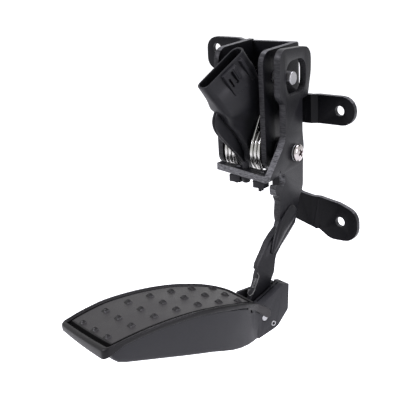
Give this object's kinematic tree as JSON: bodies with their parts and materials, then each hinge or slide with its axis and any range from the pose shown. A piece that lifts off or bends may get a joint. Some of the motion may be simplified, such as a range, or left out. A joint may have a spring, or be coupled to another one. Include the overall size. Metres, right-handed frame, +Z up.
{
  "type": "accelerator pedal",
  "caption": "Hanging accelerator pedal with sheet-steel bracket, rotary position sensor, sprung arm and hinged foot pad.",
  "frame": {"origin": "on the mounting plane, on the upper right ear's back face, level with that ear's stud hole and 10 mm inboard of its centre", "axes": "+Y into the bulkhead, square to the ears' back faces; +X along the pivot axis to the driver's right; +Z up"},
  "size_m": [0.1273, 0.2245, 0.1949],
  "materials": {
    "black_coat": "satin black powder coat over pressed steel",
    "plain_steel": "plain turned steel",
    "zinc_steel": "bright zinc plate",
    "spring_steel": "drawn spring wire",
    "black_plastic": "moulded black plastic with a fine grain",
    "tread_rubber": "charcoal moulded tread",
    "contact_metal": "tinned contact metal"
  },
  "bodies": {
    "bracket_assembly": {"mount_bracket": "black_coat", "stop_pin": "plain_steel", "shaft_bush_left": "black_plastic", "shaft_bush_right": "black_plastic", "spring_drum_left": "black_plastic", "spring_drum_right": "black_plastic", "sensor_housing": "black_plastic", "sensor_cover": "black_plastic", "connector_terminals": "contact_metal", "return_spring_left": "spring_steel", "return_spring_right": "spring_steel"},
    "arm_assembly": {"pedal_arm": "black_coat", "pivot_shaft": "plain_steel", "pivot_screw": "zinc_steel", "pivot_washer": "plain_steel", "arm_spacer": "plain_steel", "shaft_clip": "plain_steel", "sensor_rotor": "black_plastic", "spring_seat_left": "black_plastic", "spring_seat_right": "black_plastic", "flange_peg": "black_plastic", "pad_hinge_bush": "black_plastic"},
    "pad_assembly": {"pad_base": "black_plastic", "pad_tread": "tread_rubber", "pad_hinge_pin": "plain_steel", "pad_roll_pin": "plain_steel", "pad_return_spring": "spring_steel"}
  },
  "joints": [
    {"name": "pedal_pivot", "type": "hinge", "parent": "bracket_assembly", "child": "arm_assembly", "pos_m": [-0.0114, -0.0307, -0.02675], "axis": [1, 0, 0], "range_deg": [0, 16], "stiffness_Nm_per_rad": 6, "springref_deg": -34.38, "deforming": ["return_spring_left", "return_spring_right"]},
    {"name": "pad_hinge", "type": "hinge", "parent": "arm_assembly", "child": "pad_assembly", "pos_m": [-0.0161, -0.0833, -0.13175], "axis": [0.9397, -0.342, 0], "range_deg": [0, 8], "stiffness_Nm_per_rad": 1, "springref_deg": -20.05, "deforming": ["pad_return_spring"]}
  ]
}
